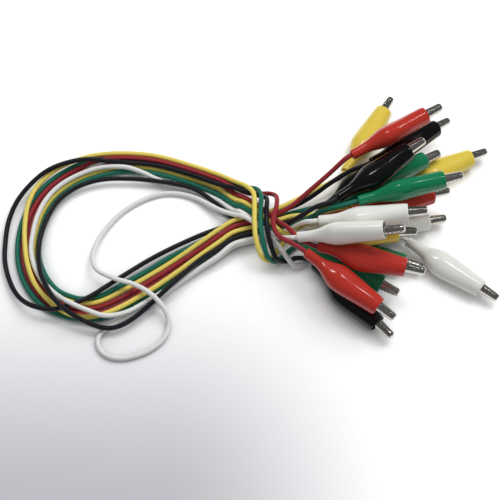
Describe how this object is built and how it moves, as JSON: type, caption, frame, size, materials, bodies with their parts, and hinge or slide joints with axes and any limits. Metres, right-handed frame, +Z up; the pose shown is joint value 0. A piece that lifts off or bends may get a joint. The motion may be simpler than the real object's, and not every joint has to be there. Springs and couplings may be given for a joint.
{
  "type": "alligator clip lead set",
  "caption": "Tied bundle of insulated test leads, folded in half and knotted in their own wires, each with a booted, toothed spring clip at both ends.",
  "frame": {"origin": "on the table, under the middle of the whole tied set's box", "axes": "+X from the wire loops towards the clips, +Y away from the picture's viewer, +Z up from the table"},
  "size_m": [0.2301, 0.1355, 0.0397],
  "materials": {
    "black_insulation": "soft PVC insulation, satin",
    "black_boot": "dip-moulded soft PVC, glossy",
    "red_insulation": "soft PVC insulation, satin",
    "red_boot": "dip-moulded soft PVC, glossy",
    "yellow_insulation": "soft PVC insulation, satin",
    "yellow_boot": "dip-moulded soft PVC, glossy",
    "green_insulation": "soft PVC insulation, satin",
    "green_boot": "dip-moulded soft PVC, glossy",
    "white_insulation": "soft PVC insulation, satin",
    "white_boot": "dip-moulded soft PVC, glossy",
    "plated_steel": "nickel-plated stamped steel",
    "spring_steel": "bright spring wire",
    "copper": "bare stranded copper"
  },
  "bodies": {
    "leads": {"black_1_wire": "black_insulation", "black_1_boots": "black_boot", "black_1_fixed_jaws": "plated_steel", "black_2_wire": "black_insulation", "black_2_boots": "black_boot", "black_2_fixed_jaws": "plated_steel", "red_1_wire": "red_insulation", "red_1_boots": "red_boot", "red_1_fixed_jaws": "plated_steel", "red_2_wire": "red_insulation", "red_2_boots": "red_boot", "red_2_fixed_jaws": "plated_steel", "yellow_1_wire": "yellow_insulation", "yellow_1_boots": "yellow_boot", "yellow_1_fixed_jaws": "plated_steel", "yellow_2_wire": "yellow_insulation", "yellow_2_boots": "yellow_boot", "yellow_2_fixed_jaws": "plated_steel", "green_1_wire": "green_insulation", "green_1_boots": "green_boot", "green_1_fixed_jaws": "plated_steel", "green_2_wire": "green_insulation", "green_2_boots": "green_boot", "green_2_fixed_jaws": "plated_steel", "white_1_wire": "white_insulation", "white_1_boots": "white_boot", "white_1_fixed_jaws": "plated_steel", "white_2_wire": "white_insulation", "white_2_boots": "white_boot", "white_2_fixed_jaws": "plated_steel", "pivot_pins": "plated_steel", "jaw_springs": "spring_steel", "copper_conductors": "copper"},
    "black_1_jaw_a": {"black_1_moving_jaw_a": "plated_steel"},
    "black_1_jaw_b": {"black_1_moving_jaw_b": "plated_steel"},
    "black_2_jaw_a": {"black_2_moving_jaw_a": "plated_steel"},
    "black_2_jaw_b": {"black_2_moving_jaw_b": "plated_steel"},
    "red_1_jaw_a": {"red_1_moving_jaw_a": "plated_steel"},
    "red_1_jaw_b": {"red_1_moving_jaw_b": "plated_steel"},
    "red_2_jaw_a": {"red_2_moving_jaw_a": "plated_steel"},
    "red_2_jaw_b": {"red_2_moving_jaw_b": "plated_steel"},
    "yellow_1_jaw_a": {"yellow_1_moving_jaw_a": "plated_steel"},
    "yellow_1_jaw_b": {"yellow_1_moving_jaw_b": "plated_steel"},
    "yellow_2_jaw_a": {"yellow_2_moving_jaw_a": "plated_steel"},
    "yellow_2_jaw_b": {"yellow_2_moving_jaw_b": "plated_steel"},
    "green_1_jaw_a": {"green_1_moving_jaw_a": "plated_steel"},
    "green_1_jaw_b": {"green_1_moving_jaw_b": "plated_steel"},
    "green_2_jaw_a": {"green_2_moving_jaw_a": "plated_steel"},
    "green_2_jaw_b": {"green_2_moving_jaw_b": "plated_steel"},
    "white_1_jaw_a": {"white_1_moving_jaw_a": "plated_steel"},
    "white_1_jaw_b": {"white_1_moving_jaw_b": "plated_steel"},
    "white_2_jaw_a": {"white_2_moving_jaw_a": "plated_steel"},
    "white_2_jaw_b": {"white_2_moving_jaw_b": "plated_steel"}
  },
  "joints": [
    {"name": "black_1_bite_a", "type": "hinge", "parent": "leads", "child": "black_1_jaw_a", "pos_m": [0.0527, -0.04672, 0.0053], "axis": [0, 0, -1], "range_deg": [0, 22], "stiffness_Nm_per_rad": 0.15, "springref_deg": -20.05, "deforming": ["jaw_springs"]},
    {"name": "black_1_bite_b", "type": "hinge", "parent": "leads", "child": "black_1_jaw_b", "pos_m": [0.08377, 0.0431, 0.01231], "axis": [-0.1167, -0.0758, -0.9903], "range_deg": [0, 22], "stiffness_Nm_per_rad": 0.15, "springref_deg": -20.05, "deforming": ["jaw_springs"]},
    {"name": "black_2_bite_a", "type": "hinge", "parent": "leads", "child": "black_2_jaw_a", "pos_m": [0.06109, 0.02422, 0.00529], "axis": [0.1045, -0.1387, 0.9848], "range_deg": [0, 22], "stiffness_Nm_per_rad": 0.15, "springref_deg": -20.05, "deforming": ["jaw_springs"]},
    {"name": "black_2_bite_b", "type": "hinge", "parent": "leads", "child": "black_2_jaw_b", "pos_m": [0.06712, 0.02106, 0.02616], "axis": [0.3059, -0.2122, -0.9281], "range_deg": [0, 22], "stiffness_Nm_per_rad": 0.15, "springref_deg": -20.05, "deforming": ["jaw_springs"]},
    {"name": "red_1_bite_a", "type": "hinge", "parent": "leads", "child": "red_1_jaw_a", "pos_m": [0.0513, -0.04346, 0.01682], "axis": [-0.176, -0.0809, -0.9811], "range_deg": [0, 22], "stiffness_Nm_per_rad": 0.15, "springref_deg": -20.05, "deforming": ["jaw_springs"]},
    {"name": "red_1_bite_b", "type": "hinge", "parent": "leads", "child": "red_1_jaw_b", "pos_m": [0.07813, 0.00792, 0.01352], "axis": [-0.0846, -0.0211, -0.9962], "range_deg": [0, 22], "stiffness_Nm_per_rad": 0.15, "springref_deg": -20.05, "deforming": ["jaw_springs"]},
    {"name": "red_2_bite_a", "type": "hinge", "parent": "leads", "child": "red_2_jaw_a", "pos_m": [0.06241, -0.02869, 0.01985], "axis": [0.0334, -0.0102, -0.9994], "range_deg": [0, 22], "stiffness_Nm_per_rad": 0.15, "springref_deg": -20.05, "deforming": ["jaw_springs"]},
    {"name": "red_2_bite_b", "type": "hinge", "parent": "leads", "child": "red_2_jaw_b", "pos_m": [0.07577, 0.03966, 0.02742], "axis": [0.4774, -0.7726, -0.4185], "range_deg": [0, 22], "stiffness_Nm_per_rad": 0.15, "springref_deg": -20.05, "deforming": ["jaw_springs"]},
    {"name": "yellow_1_bite_a", "type": "hinge", "parent": "leads", "child": "yellow_1_jaw_a", "pos_m": [0.0634, 0.00789, 0.0053], "axis": [0, 0, -1], "range_deg": [0, 22], "stiffness_Nm_per_rad": 0.15, "springref_deg": -20.05, "deforming": ["jaw_springs"]},
    {"name": "yellow_1_bite_b", "type": "hinge", "parent": "leads", "child": "yellow_1_jaw_b", "pos_m": [0.10017, 0.03127, 0.0053], "axis": [0, 0, -1], "range_deg": [0, 22], "stiffness_Nm_per_rad": 0.15, "springref_deg": -20.05, "deforming": ["jaw_springs"]},
    {"name": "yellow_2_bite_a", "type": "hinge", "parent": "leads", "child": "yellow_2_jaw_a", "pos_m": [0.06052, -0.011, 0.0149], "axis": [0, 0, -1], "range_deg": [0, 22], "stiffness_Nm_per_rad": 0.15, "springref_deg": -20.05, "deforming": ["jaw_springs"]},
    {"name": "yellow_2_bite_b", "type": "hinge", "parent": "leads", "child": "yellow_2_jaw_b", "pos_m": [0.06205, 0.05388, 0.00589], "axis": [0.29, -0.1812, -0.9397], "range_deg": [0, 22], "stiffness_Nm_per_rad": 0.15, "springref_deg": -20.05, "deforming": ["jaw_springs"]},
    {"name": "green_1_bite_a", "type": "hinge", "parent": "leads", "child": "green_1_jaw_a", "pos_m": [0.06443, -0.01971, 0.0049], "axis": [-0.1545, -0.4755, -0.866], "range_deg": [0, 22], "stiffness_Nm_per_rad": 0.15, "springref_deg": -20.05, "deforming": ["jaw_springs"]},
    {"name": "green_1_bite_b", "type": "hinge", "parent": "leads", "child": "green_1_jaw_b", "pos_m": [0.0811, 0.00733, 0.02682], "axis": [0.2284, -0.9583, -0.172], "range_deg": [0, 22], "stiffness_Nm_per_rad": 0.15, "springref_deg": -20.05, "deforming": ["jaw_springs"]},
    {"name": "green_2_bite_a", "type": "hinge", "parent": "leads", "child": "green_2_jaw_a", "pos_m": [0.0536, -0.03046, 0.00685], "axis": [-0.4695, -0.8829, 0], "range_deg": [0, 22], "stiffness_Nm_per_rad": 0.15, "springref_deg": -20.05, "deforming": ["jaw_springs"]},
    {"name": "green_2_bite_b", "type": "hinge", "parent": "leads", "child": "green_2_jaw_b", "pos_m": [0.0766, 0.0238, 0.0132], "axis": [0.5, -0.866, 0], "range_deg": [0, 22], "stiffness_Nm_per_rad": 0.15, "springref_deg": -20.05, "deforming": ["jaw_springs"]},
    {"name": "white_1_bite_a", "type": "hinge", "parent": "leads", "child": "white_1_jaw_a", "pos_m": [0.09979, -0.03046, 0.0053], "axis": [0, 0, -1], "range_deg": [0, 22], "stiffness_Nm_per_rad": 0.15, "springref_deg": -20.05, "deforming": ["jaw_springs"]},
    {"name": "white_1_bite_b", "type": "hinge", "parent": "leads", "child": "white_1_jaw_b", "pos_m": [0.06358, -0.00785, 0.02686], "axis": [0.1349, -0.7071, -0.6941], "range_deg": [0, 22], "stiffness_Nm_per_rad": 0.15, "springref_deg": -20.05, "deforming": ["jaw_springs"]},
    {"name": "white_2_bite_a", "type": "hinge", "parent": "leads", "child": "white_2_jaw_a", "pos_m": [0.05245, -0.01891, 0.03115], "axis": [-0.0872, -0.9962, 0], "range_deg": [0, 22], "stiffness_Nm_per_rad": 0.15, "springref_deg": -20.05, "deforming": ["jaw_springs"]},
    {"name": "white_2_bite_b", "type": "hinge", "parent": "leads", "child": "white_2_jaw_b", "pos_m": [0.07675, -0.00186, 0.00507], "axis": [0.1632, -0.9254, -0.342], "range_deg": [0, 22], "stiffness_Nm_per_rad": 0.15, "springref_deg": -20.05, "deforming": ["jaw_springs"]}
  ]
}
